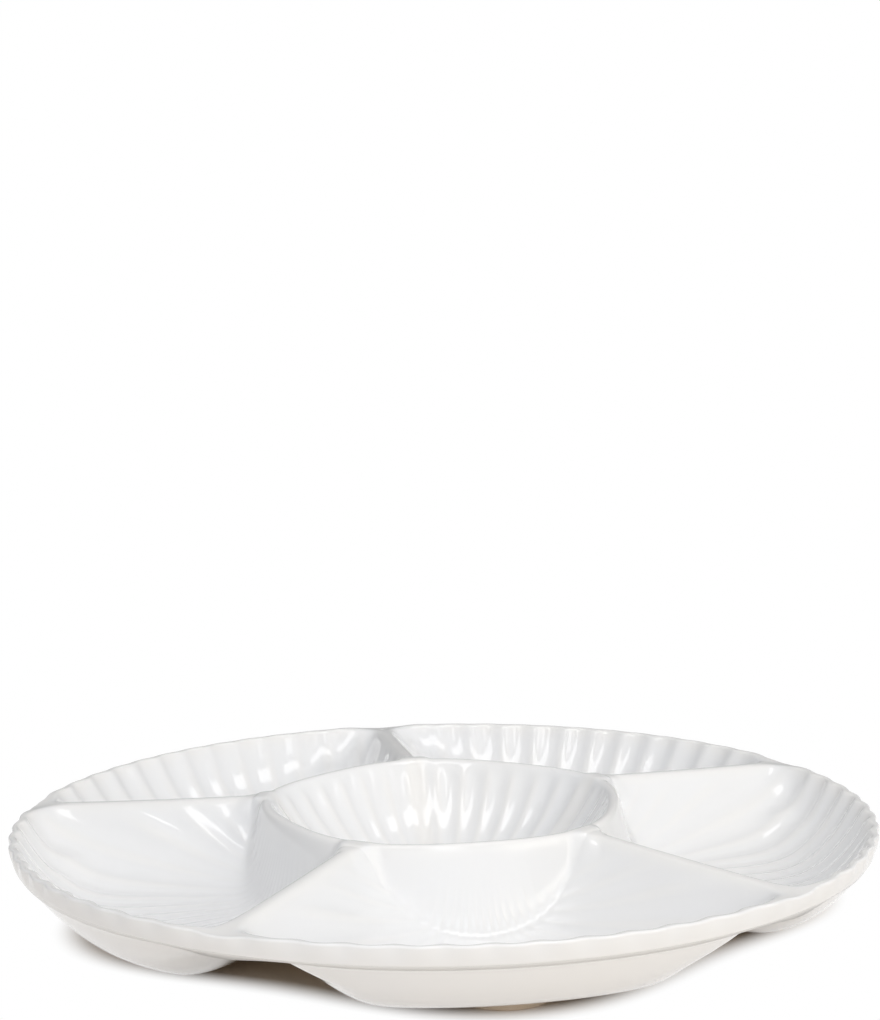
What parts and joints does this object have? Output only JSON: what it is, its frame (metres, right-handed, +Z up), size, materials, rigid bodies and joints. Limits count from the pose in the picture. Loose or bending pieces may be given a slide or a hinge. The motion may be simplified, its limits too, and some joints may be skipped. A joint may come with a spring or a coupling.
{
  "type": "chip and dip tray",
  "caption": "Round stoneware serving tray with a scalloped rim: fluted shell-shaped chip wells set around a raised fluted dip bowl, on bare clay feet.",
  "frame": {"origin": "on the table under the middle of the dip bowl", "axes": "+Z up; chip_well_1 opens towards -Y, and the other wells follow anticlockwise seen from above"},
  "size_m": [0.3804, 0.3804, 0.0468],
  "materials": {
    "glaze": "gloss",
    "bare_clay": "matte"
  },
  "bodies": {
    "root": {"dip_bowl": "glaze", "outer_rim": "glaze", "chip_well_1": "glaze", "chip_well_2": "glaze", "chip_well_3": "glaze", "chip_well_4": "glaze", "chip_well_5": "glaze", "divider_1": "glaze", "divider_2": "glaze", "divider_3": "glaze", "divider_4": "glaze", "divider_5": "glaze", "foot_pad_1": "bare_clay", "foot_pad_2": "bare_clay", "foot_pad_3": "bare_clay", "foot_pad_4": "bare_clay", "foot_pad_5": "bare_clay"}
  },
  "joints": []
}
